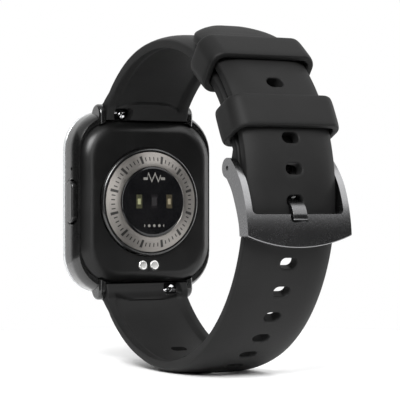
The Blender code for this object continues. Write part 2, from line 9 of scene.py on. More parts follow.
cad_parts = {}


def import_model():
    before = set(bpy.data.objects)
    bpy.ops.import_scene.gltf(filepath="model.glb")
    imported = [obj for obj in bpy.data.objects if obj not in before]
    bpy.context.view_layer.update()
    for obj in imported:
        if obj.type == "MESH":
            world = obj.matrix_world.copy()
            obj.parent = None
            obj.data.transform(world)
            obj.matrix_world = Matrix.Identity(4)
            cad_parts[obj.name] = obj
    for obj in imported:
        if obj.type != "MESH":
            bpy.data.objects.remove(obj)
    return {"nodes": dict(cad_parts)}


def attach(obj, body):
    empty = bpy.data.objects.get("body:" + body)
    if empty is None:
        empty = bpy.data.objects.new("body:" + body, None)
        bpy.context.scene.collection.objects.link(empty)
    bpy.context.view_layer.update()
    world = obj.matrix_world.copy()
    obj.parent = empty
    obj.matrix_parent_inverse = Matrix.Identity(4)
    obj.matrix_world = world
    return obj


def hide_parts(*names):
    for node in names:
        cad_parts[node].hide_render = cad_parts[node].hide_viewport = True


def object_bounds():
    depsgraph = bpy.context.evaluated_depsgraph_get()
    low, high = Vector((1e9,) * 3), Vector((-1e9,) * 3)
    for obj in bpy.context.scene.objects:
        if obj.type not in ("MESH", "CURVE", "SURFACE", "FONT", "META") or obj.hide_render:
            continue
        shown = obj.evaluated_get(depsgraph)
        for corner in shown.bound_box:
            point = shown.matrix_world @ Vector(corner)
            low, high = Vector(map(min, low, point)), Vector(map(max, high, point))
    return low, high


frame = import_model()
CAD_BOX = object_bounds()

# Shapes are given in millimetres in the CAD's axes: X across the strap, Y from the buckle to the
# glass, Z up. piece() turns them into metres. "end" is 1 for the upper strap bar, -1 for the lower.
MM = 0.001

LOOP_Y = -21.8  # centre of the loop, at Z 0
PIN = (-52.9, 6.4)  # Y and Z of the bar that the buckle turns on
BAR = (5.6, 19.8)  # Y and Z of the upper strap bar
KNOB_X = 6.1  # the release pins' knobs, in the straps' windows

CASE = (17.0, 20.0, 8.65)  # half width, half height and corner radius at the widest
LUG_INSIDE = 9.98
BACK_Y = 2.2  # outer face of the back cover, which the sensor and the contacts stand on
CONTACTS = (1.42, -13.9)  # X (either side) and Z of the charging contacts
BUTTON_Y = 6.3

STRAP_HALF = 10.0
CROWN = 1.05  # how much the strap's side edges are thinner than its middle
CHANNEL = 0.62  # depth of the channel moulded along the inside of the strap's roots
CHANNEL_HALF = 8.35
ACROSS = 36  # steps across the strap
LONG_THICKNESS = 2.85
HOLE_DEPTH = 1.25  # middle of a strap hole, above the strap's inner face
HOLE_STEP = 5.93

STAGE_Y = -22.0  # middle of the floor, and what the lights aim at


# ---- materials ---------------------------------------------------------------------------

class Finish:
    """A procedural material, built node by node in the object's own coordinates (metres)."""

    def __init__(self, name, **values):
        self.material = bpy.data.materials.new(name)
        self.material.use_nodes = True
        self.tree = self.material.node_tree
        self.shader = self.tree.nodes["Principled BSDF"]
        self.place = self.node("ShaderNodeTexCoord").outputs["Object"]
        for key, value in values.items():
            self.shader.inputs[key.replace("_", " ")].default_value = value

    def node(self, kind, **settings):
        made = self.tree.nodes.new(kind)
        for key, value in settings.items():
            setattr(made, key, value)
        return made

    def feed(self, socket, value):
        """Link a socket to another one, or set it to a plain value."""
        if isinstance(value, bpy.types.NodeSocket):
            self.tree.links.new(value, socket)
        else:
            socket.default_value = value

    def math(self, operation, a, b=0.0):
        made = self.node("ShaderNodeMath", operation=operation)
        self.feed(made.inputs[0], a)
        self.feed(made.inputs[1], b)
        return made.outputs[0]

    def times(self, a, b):
        return self.math("MULTIPLY", a, b)

    def length(self, a, b):
        """The length of the vector (a, b)."""
        return self.math("SQRT", self.math("ADD", self.times(a, a), self.times(b, b)))

    def split(self):
        """X, Y and Z on the object."""
        made = self.node("ShaderNodeSeparateXYZ")
        self.feed(made.inputs[0], self.place)
        return made.outputs

    def join(self, x, y, z):
        made = self.node("ShaderNodeCombineXYZ")
        for socket, value in zip(made.inputs, (x, y, z)):
            self.feed(socket, value)
        return made.outputs[0]

    def noise(self, scale, detail=3.0, roughness=0.5, vector=None, stretch=None):
        made = self.node("ShaderNodeTexNoise")
        source = vector or self.place
        if stretch:
            mapped = self.node("ShaderNodeMapping")
            self.feed(mapped.inputs["Vector"], source)
            mapped.inputs["Scale"].default_value = stretch
            source = mapped.outputs[0]
        self.feed(made.inputs["Vector"], source)
        made.inputs["Scale"].default_value = scale
        made.inputs["Detail"].default_value = detail
        made.inputs["Roughness"].default_value = roughness
        return made.outputs["Fac"]

    def cell_edges(self, scale):
        """Distance to the edges of a field of cells."""
        made = self.node("ShaderNodeTexVoronoi", feature="DISTANCE_TO_EDGE")
        self.feed(made.inputs["Vector"], self.place)
        made.inputs["Scale"].default_value = scale
        return made.outputs["Distance"]

    def remap(self, value, low, high, to_low=0.0, to_high=1.0):
        """A smooth step from to_low to to_high as the value goes from low to high."""
        made = self.node("ShaderNodeMapRange", interpolation_type="SMOOTHSTEP")
        for socket, number in zip(made.inputs[:5], (value, low, high, to_low, to_high)):
            self.feed(socket, number)
        return made.outputs[0]

    def inside(self, value, middle, half, edge):
        """1 within half of middle, falling to 0 over edge on either side of that."""
        away = self.math("ABSOLUTE", self.math("SUBTRACT", value, middle))
        return self.remap(away, half - edge, half + edge, 1.0, 0.0)

    def blend(self, share, a, b):
        made = self.node("ShaderNodeMix", data_type="RGBA")
        self.feed(made.inputs["Factor"], share)
        self.feed(made.inputs[6], a)
        self.feed(made.inputs[7], b)
        return made.outputs[2]

    def shades(self, pattern, dark, light, low=0.3, high=0.7):
        """A colour that goes from dark to light with the pattern."""
        return self.blend(self.remap(pattern, low, high), (*dark, 1), (*light, 1))

    def colour(self, value):
        self.feed(self.shader.inputs["Base Color"], value)

    def rough(self, pattern, low, high):
        """Roughness that goes from low to high with the pattern."""
        self.feed(self.shader.inputs["Roughness"], self.remap(pattern, 0.3, 0.7, low, high))

    def both(self, a, share, b):
        """Two patterns added, the first with the given share."""
        return self.math("ADD", self.times(a, share), self.times(b, 1 - share))

    def bump(self, height, distance, strength=1.0, under=None):
        made = self.node("ShaderNodeBump")
        made.inputs["Strength"].default_value = strength
        made.inputs["Distance"].default_value = distance
        self.feed(made.inputs["Height"], height)
        if under:
            self.feed(made.inputs["Normal"], under)
        self.feed(self.shader.inputs["Normal"], made.outputs[0])
        return made.outputs[0]

    def mottled(self, level, swing, scale):
        """A grey colour in soft patches, the given share darker and lighter than its level."""
        patches = self.noise(scale, 4.0, 0.6)
        self.colour(self.shades(patches, grey(level * (1 - swing)), grey(level * (1 + swing)),
                                0.35, 0.65))
        return patches


def grey(value):
    return (value, value, value)


def scaled(tint, factor):
    return [c * factor for c in tint]


def silicone(name, level, rough):
    """Soft matt rubber: fine grain on a slow wave."""
    f = Finish(name, Specular_IOR_Level=0.14)
    patches = f.mottled(level, 0.12, 90)
    grain = f.noise(5200, 4, 0.6)
    f.rough(f.both(patches, 0.5, grain), *rough)
    wave = f.bump(f.noise(260, 3, 0.5), 0.00003, 0.25)
    f.bump(grain, 0.000012, 0.35, wave)
    return f.material


def moulded(name, level, rough, grain=0.3, peel=0.06, coat=0.0, gloss=0.5):
    """Moulded plastic: fine grain over a faint orange peel."""
    f = Finish(name, Specular_IOR_Level=gloss, Coat_Weight=coat, Coat_Roughness=0.08)
    patches = f.mottled(level, 0.15, 140)
    fine = f.noise(7000, 4, 0.6)
    f.rough(f.both(patches, 0.6, fine), *rough)
    wave = f.bump(f.noise(420, 2, 0.5), 0.00002, peel)
    f.bump(fine, 0.000008, grain, wave)
    return f.material


def metal(name, tint, rough, lines=(1, 1, 1), grain=0.3):
    """Blasted or brushed metal; lines stretches its grain along an axis."""
    f = Finish(name, Metallic=1.0)
    brushed = f.noise(6000, 4, 0.6, stretch=lines)
    patches = f.noise(200, 4, 0.6)
    f.colour(f.shades(brushed, scaled(tint, 0.95), scaled(tint, 1.04)))
    f.rough(f.both(patches, 0.4, brushed), *rough)
    f.bump(brushed, 0.000008, grain)
    return f.material


def across_and_up(f):
    """X and Z on the object, in millimetres."""
    x, _, z = f.split()
    return f.times(x, 1 / MM), f.times(z, 1 / MM)


def ring_finish():
    """Satin silver, spun round the axis, with a plain scale of dark tick marks."""
    f = Finish("ring_film", Metallic=0.9, Specular_IOR_Level=0.5)
    x, _, z = f.split()
    turns = f.math("DIVIDE", f.math("ARCTAN2", z, x), math.tau)
    radius = f.times(f.length(x, z), 1 / MM)
    spun = f.noise(1.0, 4, 0.65, f.join(f.times(turns, 24.0), f.times(radius, 26.0), 0.0))
    patches = f.noise(160, 3, 0.6)
    base = f.shades(spun, (0.185, 0.172, 0.16), (0.265, 0.252, 0.237))

    def ticks(count, width, edge, length):
        """Evenly spaced marks; width and edge are shares of one mark's spacing."""
        share = f.math("FRACT", f.times(turns, count))
        return f.times(f.inside(share, 0.5, width, edge), f.inside(radius, 9.45, length, 0.05))

    marks = f.math("MAXIMUM", ticks(60.0, 0.13, 0.04, 0.42), ticks(12.0, 0.06, 0.012, 0.85))
    f.colour(f.blend(marks, base, (0.035, 0.034, 0.033, 1)))
    f.rough(f.both(spun, 0.6, patches), 0.26, 0.38)
    f.bump(spun, 0.000006, 0.4)
    return f.material


def window_finish():
    """Black glass with three small optical windows and two plain marks printed under it."""
    f = Finish("sensor_glass", Specular_IOR_Level=0.5)
    x, z = across_and_up(f)
    smudge = f.noise(220, 4, 0.6)
    speck = f.noise(2600, 3, 0.7)

    def pane(base, middle, frame_tint, core_tint, core_half):
        """One optical window: a dim frame with a core of its own tint."""
        outer = f.times(f.inside(x, middle, 0.72, 0.07), f.inside(z, 0.1, 1.5, 0.08))
        frame_colour = f.shades(speck, scaled(frame_tint, 0.6), frame_tint, 0.35, 0.65)
        core = f.times(f.inside(x, middle, core_half[0], 0.06),
                       f.inside(z, 0.1, core_half[1], 0.08))
        return f.blend(core, f.blend(outer, base, frame_colour), (*core_tint, 1))

    base = f.shades(smudge, (0.0035, 0.0035, 0.004), (0.0055, 0.0055, 0.006), 0.35, 0.65)
    base = pane(base, -3.4, (0.05, 0.05, 0.03), (0.24, 0.24, 0.14), (0.36, 0.62))
    base = pane(base, 0.3, (0.014, 0.013, 0.014), (0.022, 0.021, 0.022), (0.55, 0.9))
    base = pane(base, 4.0, (0.05, 0.043, 0.028), (0.22, 0.19, 0.13), (0.36, 0.62))

    def within(half, edge):
        """1 up to half from the marks' middle, falling to 0 over edge."""
        return f.remap(from_middle, half, half + edge, 1.0, 0.0)

    # a plain pulse line: level, with a zigzag in its middle
    from_middle = f.math("ABSOLUTE", f.math("SUBTRACT", x, 0.3))
    zigzag = f.times(f.math("PINGPONG", f.math("ADD", x, 8.3), 0.8), 2.2)
    height = f.math("ADD", 5.1, f.times(within(1.55, 0.1), f.math("SUBTRACT", zigzag, 0.6)))
    line = f.times(f.inside(z, height, 0.28, 0.06), within(2.6, 0.1))
    # a row of dots below
    per_mm = 0.8
    share = f.math("FRACT", f.math("ADD", f.times(x, per_mm), 0.26))
    from_dot = f.length(f.math("DIVIDE", f.math("SUBTRACT", share, 0.5), per_mm),
                        f.math("SUBTRACT", z, -5.2))
    dots = f.times(f.remap(from_dot, 0.26, 0.36, 1.0, 0.0), within(2.4, 0.1))
    f.colour(f.blend(f.math("MAXIMUM", line, dots), base, (0.17, 0.165, 0.155, 1)))
    f.rough(smudge, 0.06, 0.14)
    f.bump(f.noise(900, 2, 0.5), 0.000004, 0.1)
    return f.material


def display_finish():
    """Black glass with the slightly lighter panel of a display that is off."""
    f = Finish("cover_glass", Specular_IOR_Level=0.3, Coat_Weight=0.25, Coat_Roughness=0.02)
    x, z = across_and_up(f)
    smudge = f.noise(130, 5, 0.6)
    active = f.times(f.inside(x, 0.0, 14.2, 0.05), f.inside(z, 0.0, 16.4, 0.05))
    ink = f.shades(smudge, (0.007, 0.007, 0.008), (0.011, 0.011, 0.012), 0.35, 0.65)
    pixels = f.noise(5000, 2, 0.5)
    panel = f.shades(pixels, (0.012, 0.012, 0.016), (0.018, 0.018, 0.023), 0.35, 0.65)
    f.colour(f.blend(active, ink, panel))
    f.rough(smudge, 0.04, 0.11)
    f.bump(f.noise(300, 2, 0.5), 0.000004, 0.05)
    return f.material


def painted_light_edge_finish():
    """The clear, polished edge of the cover glass; its light grey is painted light."""
    f = Finish("glass_edge_painted_light", Specular_IOR_Level=0.7, Coat_Weight=1.0, Coat_Roughness=0.03)
    ground = f.noise(3000, 3, 0.6, stretch=(1, 6, 1))
    f.colour(f.shades(ground, (0.40, 0.41, 0.42), (0.56, 0.57, 0.58)))
    f.rough(ground, 0.08, 0.2)
    f.bump(ground, 0.000006, 0.15)
    return f.material


def contact_finish():
    """Bright plated metal, lightly scuffed."""
    f = Finish("contact_metal", Metallic=1.0)
    patches = f.noise(900, 4, 0.6)
    f.colour(f.shades(patches, (0.93, 0.93, 0.91), (1.0, 0.99, 0.97)))
    f.rough(patches, 0.28, 0.42)
    f.bump(f.noise(4200, 3, 0.6), 0.00001, 0.4)
    return f.material


def board_finish():
    """Green solder mask over lighter tracks."""
    f = Finish("circuit_board", Specular_IOR_Level=0.5, Coat_Weight=0.3, Coat_Roughness=0.2)
    tracks = f.cell_edges(900)
    f.colour(f.shades(tracks, (0.10, 0.30, 0.14), (0.015, 0.10, 0.045), 0.03, 0.07))
    f.rough(f.noise(1500, 3), 0.3, 0.5)
    f.bump(tracks, 0.00002, 0.3)
    return f.material


def foil_finish():
    """Wrinkled silver foil."""
    f = Finish("battery_foil", Metallic=0.9)
    wrinkle = f.noise(700, 5, 0.65)
    f.colour(f.shades(wrinkle, (0.42, 0.42, 0.43), (0.62, 0.62, 0.63)))
    f.rough(wrinkle, 0.25, 0.45)
    f.bump(wrinkle, 0.00008, 0.5)
    return f.material


def lens_finish(name, tint):
    """A cloudy resin lens."""
    f = Finish(name, Specular_IOR_Level=0.6, Coat_Weight=0.6, Coat_Roughness=0.1)
    cloud = f.noise(2500, 4, 0.6)
    f.colour(f.shades(cloud, scaled(tint, 0.75), tint))
    f.rough(cloud, 0.15, 0.3)
    f.bump(cloud, 0.00001, 0.2)
    return f.material


STRAP = silicone("silicone", 0.0085, (0.5, 0.62))
SEAL = silicone("seal_rubber", 0.04, (0.6, 0.75))
GLOSS = moulded("case_gloss", 0.004, (0.22, 0.3), grain=0.05, peel=0.03, coat=0.6)
MATTE = moulded("case_matte", 0.003, (0.3, 0.38), grain=0.15, peel=0.03, gloss=0.32)
INNER = moulded("inner_plastic", 0.05, (0.45, 0.6))
BLACK_PANEL = moulded("display_black", 0.01, (0.12, 0.2), grain=0.05)
GUNMETAL = metal("gunmetal", (0.205, 0.205, 0.209), (0.25, 0.28), grain=0.015)
# a darker copy of the gunmetal for the tang: painted shade
GUNMETAL_PAINTED_SHADE = metal("gunmetal_painted_shade", (0.11, 0.11, 0.112), (0.25, 0.28), grain=0.015)
STEEL = metal("steel", (0.62, 0.62, 0.63), (0.16, 0.26), lines=(0.15, 1, 1))
RING = ring_finish()
WINDOW = window_finish()
GLASS = display_finish()
# painted light: the glass edge's light grey stands in for light seen through clear glass
GLASS_EDGE_PAINTED_LIGHT = painted_light_edge_finish()
CONTACT = contact_finish()
BOARD = board_finish()
FOIL = foil_finish()
LED = lens_finish("led_lens", (0.75, 0.72, 0.5))


# ---- mesh helpers ------------------------------------------------------------------------

def piece(name, points, faces, finish, body=None, slot=None, replaces=(), angle=35.0):
    """A closed mesh from points in millimetres, shaded smooth below an angle in degrees."""
    mesh = bpy.data.meshes.new(name)
    mesh.from_pydata([(x * MM, y * MM, z * MM) for x, y, z in points], [], faces)
    shape = bmesh.new()
    shape.from_mesh(mesh)
    bmesh.ops.remove_doubles(shape, verts=shape.verts, dist=1e-7)
    bmesh.ops.recalc_face_normals(shape, faces=shape.faces)
    shape.to_mesh(mesh)
    shape.free()
    mesh.materials.append(finish)
    item = bpy.data.objects.new(name, mesh)
    bpy.context.scene.collection.objects.link(item)
    shade(item, angle)
    if body:
        declare(item, body, replaces)
    return item


def declare(item, body, replaces):
    """Put the piece on the body it rides on, and hide the CAD nodes it stands in for."""
    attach(item, body)
    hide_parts(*replaces)


def even_out(item):
    """Weight the shading towards the large faces, so flats stay flat beside rounded edges."""
    step = item.modifiers.new("Normals", "WEIGHTED_NORMAL")
    step.keep_sharp = True


def shade(item, angle):
    """Smooth shading, with a sharp edge wherever faces meet at more than the angle."""
    mesh = item.data
    mesh.polygons.foreach_set("use_smooth", [True] * len(mesh.polygons))
    mesh.set_sharp_from_angle(angle=math.radians(angle))


def seal(mesh):
    """Merge slivers and fill any pinhole that a cut has left. The mesh is in millimetres."""
    shape = bmesh.new()
    shape.from_mesh(mesh)
    bmesh.ops.remove_doubles(shape, verts=shape.verts, dist=0.004)
    bmesh.ops.dissolve_degenerate(shape, edges=shape.edges, dist=0.002)
    gaps = [edge for edge in shape.edges if len(edge.link_faces) == 1]
    bmesh.ops.holes_fill(shape, edges=gaps, sides=0)
    loose = [edge for edge in shape.edges if not edge.link_faces]
    bmesh.ops.delete(shape, geom=loose, context="EDGES")
    bmesh.ops.recalc_face_normals(shape, faces=shape.faces)
    shape.to_mesh(mesh)
    shape.free()


def settle(item, angle):
    """Apply every modifier, then drop the cutters.

    The mesh is put into millimetres for this, because cuts in metres this small lose their edges.
    """
    cutters = [m.object for m in item.modifiers if m.type == "BOOLEAN"]
    for each in (item, *cutters):
        each.data.transform(Matrix.Scale(1 / MM, 4))
    bpy.context.view_layer.update()
    evaluated = item.evaluated_get(bpy.context.evaluated_depsgraph_get())
    mesh = bpy.data.meshes.new_from_object(evaluated)
    seal(mesh)
    mesh.transform(Matrix.Scale(MM, 4))
    item.modifiers.clear()
    item.data = mesh
    for cutter in cutters:
        bpy.data.objects.remove(cutter, do_unlink=True)
    shade(item, angle)
    even_out(item)


def carve(item, cutter, operation="DIFFERENCE"):
    """Cut the cutter out of the item, or add it with UNION; settle() carries this out."""
    step = item.modifiers.new(cutter.name, "BOOLEAN")
    step.operation = operation
    step.solver = "EXACT"
    step.object = cutter
    cutter.hide_render = True


def round_edges(item, width, segments, angle):
    """Bevel the edges sharper than the angle. settle() applies this in millimetres."""
    step = item.modifiers.new("Edges", "BEVEL")
    step.width = width
    step.segments = segments
    step.limit_method = "ANGLE"
    step.angle_limit = math.radians(angle)


def arc(cx, cy, radius, start, end, count):
    """Points on an arc in a plane, from one angle in degrees to another."""
    turn = np.radians(np.linspace(start, end, count + 1))
    return [(cx + radius * math.cos(a), cy + radius * math.sin(a)) for a in turn]


def rounded(half_w, half_h, radius, corner=10, side=6):
    """A rounded rectangle with the same number of points whatever its size."""
    points = []
    for sx, sz, start in ((1, 1, 0), (-1, 1, 90), (-1, -1, 180), (1, -1, 270)):
        middle = (sx * (half_w - radius), sz * (half_h - radius))
        points += arc(*middle, radius, start, start + 90, corner)
    dense = []
    for i, point in enumerate(points):
        dense.append(point)
        if i % (corner + 1) == corner:
            after = points[(i + 1) % len(points)]
            for k in range(1, side):
                share = k / side
                dense.append((point[0] + (after[0] - point[0]) * share,
                              point[1] + (after[1] - point[1]) * share))
    return dense


def loft(rings, closed=True, loop=False):
    """Points and faces of a skin over rings that all have the same number of points.

    closed joins each ring's last point to its first. loop joins the last ring to the first, and
    without it both ends are capped.
    """
    count = len(rings[0])
    points = [p for ring in rings for p in ring]
    faces = []
    spans = len(rings) if loop else len(rings) - 1
    for j in range(spans):
        a = j * count
        b = ((j + 1) % len(rings)) * count
        for i in range(count if closed else count - 1):
            k = (i + 1) % count
            faces.append((a + i, a + k, b + k, b + i))
    if not loop:
        faces.append(tuple(range(count)))
        faces.append(tuple(reversed(range(len(points) - count, len(points)))))
    return points, faces


def plates(levels):
    """Rings in XZ at a Y each, from (half width, half height, corner radius, y)."""
    return [[(x, y, z) for x, z in rounded(w, h, r)] for w, h, r, y in levels]


def lathe(profile, centre, axis, steps=96, closed=False):
    """A profile of (radius, height) turned about an axis: "y-" towards the wrist, or "x".

    closed is for a ring, whose profile doesn't start and end on the axis.
    """
    rings = []
    for i in range(steps):
        turn = math.tau * i / steps
        ring = []
        for radius, height in profile:
            u, v = radius * math.cos(turn), radius * math.sin(turn)
            if axis == "y-":
                ring.append((centre[0] + u, centre[1] - height, centre[2] + v))
            else:
                ring.append((centre[0] + height, centre[1] + u, centre[2] + v))
        rings.append(ring)
    return loft(rings, closed=closed, loop=True)


def slab(outline, low, high, plane="yz"):
    """An outline extruded over a span of X (plane yz), or of Y (plane xz)."""
    rings = []
    for level in (low, high):
        if plane == "yz":
            rings.append([(level, a, b) for a, b in outline])
        else:
            rings.append([(a, level, b) for a, b in outline])
    return loft(rings)


def tool(name, points, faces):
    """A shape for carve(), which settle() drops."""
    return piece(name, points, faces, STRAP)


def rod_tool(name, radius, low, high, y, z):
    """A rod along X, for carve()."""
    return tool(name, *slab(arc(y, z, radius, 0, 360, 32)[:-1], low, high))


def spline(points, per=8):
    """A Catmull-Rom curve through the points, ends included."""
    p = np.array(points, float)
    p = np.vstack([2 * p[0] - p[1], p, 2 * p[-1] - p[-2]])
    out = []
    for i in range(1, len(p) - 2):
        a, b, c, d = p[i - 1:i + 3]
        for k in range(per):
            t = k / per
            out.append(tuple(0.5 * (2 * b + (c - a) * t + (2 * a - 5 * b + 4 * c - d) * t * t
                                    + (3 * b - a - 3 * c + d) * t ** 3)))
    out.append(tuple(p[-2]))
    return out


def smooth(value, low, high):
    """0 below low, 1 above high, and a smooth step between."""
    t = np.clip((value - low) / (high - low), 0.0, 1.0)
    return t * t * (3 - 2 * t)


def polar(radius, degrees):
    """Y and Z of a point on the loop, 0 degrees being towards the case and 90 straight up."""
    turn = math.radians(degrees)
    return (LOOP_Y + radius * math.cos(turn), radius * math.sin(turn))


# ---- case --------------------------------------------------------------------------------

def cover_glass():
    """A plate with a curved rim, whose upright clear glass edge is shown with painted light."""
    levels = [(16.3, 19.3, 8.00, 9.8), (16.75, 19.75, 8.42, 9.84), (16.95, 19.95, 8.60, 9.95),
              (*CASE, 10.1), (*CASE, 10.4), (16.92, 19.92, 8.57, 10.56),
              (16.7, 19.7, 8.37, 10.7), (16.2, 19.2, 7.91, 10.81), (15.4, 18.4, 7.18, 10.87),
              (14.6, 17.6, 6.44, 10.9)]
    glass = piece("cover_glass_2", *loft(plates(levels)), GLASS, "case", "cover_glass",
                  ("cover_glass",), 50)
    # the upright edge's light grey is painted light
    glass.data.materials.append(GLASS_EDGE_PAINTED_LIGHT)
    edge_low, edge_high = 9.88, 10.6
    for face in glass.data.polygons:
        if edge_low < face.center.y / MM < edge_high:
            face.material_index = 1


def lug(side, end):
    """One lug in the YZ plane, swelling a little at the middle of its thickness."""
    face, top, radius = 3.1, 21.4, 2.2
    outline = [(3.3, 14.0), (8.2, 14.0), (8.25, 16.5), (8.1, 18.3), (7.6, 19.8)]
    outline += arc(face + radius, top - radius, radius, 42, 180, 14)
    outline += [(face, 17.5)]
    inner, outer = LUG_INSIDE, 11.55
    # how far the outline shrinks at each X
    levels = [(inner, 0.28), (inner + 0.05, 0.12), (inner + 0.18, 0.0), (outer - 0.55, 0.0),
              (outer - 0.28, 0.10), (outer - 0.08, 0.32), (outer, 0.6)]
    centre = np.array([5.6, 17.6])
    rings = []
    for x, shrink in levels:
        ring = []
        for y, z in outline:
            away = np.array([y, z]) - centre
            length = np.linalg.norm(away)
            y2, z2 = centre + away * (length - shrink) / length
            ring.append((side * x, y2, end * z2))
        rings.append(ring)
    return tool(f"lug{side}{end}", *loft(rings))


def middle_frame():
    """The case's hoop, its four lugs, the strap pockets, the button's groove and a small hole."""
    levels = [(15.2, 17.2, 7.4, 8.8), (15.95, 18.95, 7.73, 8.8), (15.95, 18.95, 7.73, 9.62),
              (16.3, 19.3, 8.1, 9.62), (16.7, 19.7, 8.37, 9.58), (16.9, 19.9, 8.56, 9.42),
              (*CASE, 9.1), (*CASE, 8.0), (*CASE, 6.7),
              (16.96, 19.95, 8.6, 6.1), (16.86, 19.8, 8.5, 5.6), (16.7, 19.6, 8.4, 5.1),
              (16.5, 19.35, 8.25, 4.55), (16.3, 19.1, 8.15, 4.15), (16.1, 18.85, 8.0, 3.93),
              (15.2, 17.2, 7.4, 3.93)]
    body = piece("middle_frame_2", *loft(plates(levels), loop=True), GLOSS)
    for side in (-1, 1):
        for end in (-1, 1):
            carve(body, lug(side, end), "UNION")
    seat = rounded(15.85, 17.64, 7.85)
    carve(body, tool("cut_seat", *slab(seat, 0.0, 4.4, "xz")))
    for end in (-1, 1):
        pocket = [(0.0, 17.6), (8.2, 17.6), (8.35, 17.75), (8.35, 26.0), (0.0, 26.0)]
        pocket = [(y, end * z) for y, z in pocket]
        carve(body, tool(f"cut_pocket{end}", *slab(pocket, -LUG_INSIDE, LUG_INSIDE)))
        carve(body, rod_tool(f"cut_bore{end}", 0.5, -11.0, 11.0, BAR[0], end * BAR[1]))
    groove_y = 6.12
    groove = []
    for x, w in ((-20.0, 0.28), (-16.95, 0.28), (-16.82, 0.1), (-16.6, 0.0), (-15.0, 0.0)):
        groove.append([(x, y + groove_y, z) for y, z in rounded(1.94 + w, 4.9 + w, 1.8 + w)])
    carve(body, tool("cut_groove", *loft(groove)))
    carve(body, rod_tool("cut_mic", 0.36, -20.0, -15.0, 6.1, 7.2))
    round_edges(body, 0.09, 2, 50)
    settle(body, 40)
    declare(body, "case", ("middle_frame",))


def side_button():
    """A softly domed cap on a stem."""
    levels = [(1.25, 4.35, 1.2, -15.9), (1.45, 4.55, 1.4, -15.95), (1.45, 4.55, 1.4, -17.1),
              (1.42, 4.52, 1.37, -17.26), (1.34, 4.44, 1.3, -17.38), (1.24, 4.34, 1.2, -17.43),
              (1.1, 4.2, 1.06, -17.45)]
    rings = [[(x, y + BUTTON_Y, z) for y, z in rounded(w, h, r)] for w, h, r, x in levels]
    cap = piece("side_button_2", *loft(rings), GLOSS)
    stem = rod_tool("stem", 0.6, -16.2, -15.05, BUTTON_Y, 0.0)
    carve(cap, stem, "UNION")
    settle(cap, 40)
    declare(cap, "side_button", ("side_button",))


def contact_place(side):
    return (side * CONTACTS[0], BACK_Y, CONTACTS[1])


def back_cover():
    """A plate whose rim falls away in one arc, with wells for the sensor and the contacts."""
    levels = [(15.2, 16.9, 7.54, 4.2), (15.7, 17.5, 7.82, 4.15), (15.82, 17.6, 7.93, 4.05)]
    steepest = math.radians(62)
    for t in np.radians(np.linspace(62, 0, 14)):
        out = math.sin(t) / math.sin(steepest)
        drop = (1 - math.cos(t)) / (1 - math.cos(steepest))
        levels.append((12.9 + 2.92 * out, 15.1 + 2.5 * out, 6.2 + 1.73 * out, BACK_Y + 1.72 * drop))
    levels.append((12.4, 14.6, 5.8, BACK_Y))
    cover = piece("back_cover_2", *loft(plates(levels)), MATTE)
    hollow = rounded(13.0, 15.6, 5.5)
    carve(cover, tool("cut_hollow", *slab(hollow, 3.3, 6.0, "xz")))
    well = arc(0, 0, 11.95, 0, 360, 128)[:-1]
    carve(cover, tool("cut_well", *slab(well, -1.0, 5.0, "xz")))
    rim = [(0.0, 1.0), (1.32, 1.0), (1.32, 0.04), (1.14, -0.1), (1.14, -3.0), (0.0, -3.0)]
    for side in (-1, 1):
        carve(cover, tool(f"cut_contact{side}", *lathe(rim, contact_place(side), "y-", 40)))
    round_edges(cover, 0.08, 2, 60)
    settle(cover, 38)
    declare(cover, "case", ("back_cover",))


def sensor():
    """The bezel, the ring with its scale, the domed window and the two charging contacts."""
    at = (0.0, BACK_Y, 0.0)
    bezel = [(11.05, 0.88), (11.35, 0.9), (11.6, 0.84), (11.76, 0.7), (11.84, 0.5), (11.86, 0.2),
             (11.86, -1.0), (7.0, -1.0), (7.0, -0.45), (10.9, -0.45), (10.98, 0.7)]
    piece("sensor_bezel_2", *lathe(bezel, at, "y-", 160, True), GLOSS, "case", "case_gloss",
          ("sensor_bezel",), 30)
    ring = [(7.72, 1.72), (7.8, 1.8), (7.95, 1.79), (9.0, 1.49), (10.2, 1.14), (10.95, 0.92),
            (11.02, 0.82), (11.02, -0.1), (7.72, -0.1)]
    piece("sensor_ring_2", *lathe(ring, at, "y-", 160, True), RING, "case", "ring_film",
          ("sensor_ring",), 30)
    window = [(0.0, 1.98), (2.5, 1.975), (4.5, 1.96), (6.0, 1.935), (7.0, 1.905), (7.45, 1.87),
              (7.64, 1.78), (7.66, 1.6), (7.66, -0.1), (0.0, -0.1)]
    piece("sensor_window_2", *lathe(window, at, "y-", 128), WINDOW, "case", "sensor_glass",
          ("sensor_window",), 30)
    pad = [(0.0, 0.05), (0.6, 0.05), (0.88, 0.03), (1.0, -0.04), (1.05, -0.14), (1.05, -1.4),
           (0.0, -1.4)]
    for name, side in (("charge_contact_a", -1), ("charge_contact_b", 1)):
        piece(f"{name}_2", *lathe(pad, contact_place(side), "y-", 48), CONTACT, "case",
              "contact_metal", (name,), 40)


# ---- strap -------------------------------------------------------------------------------

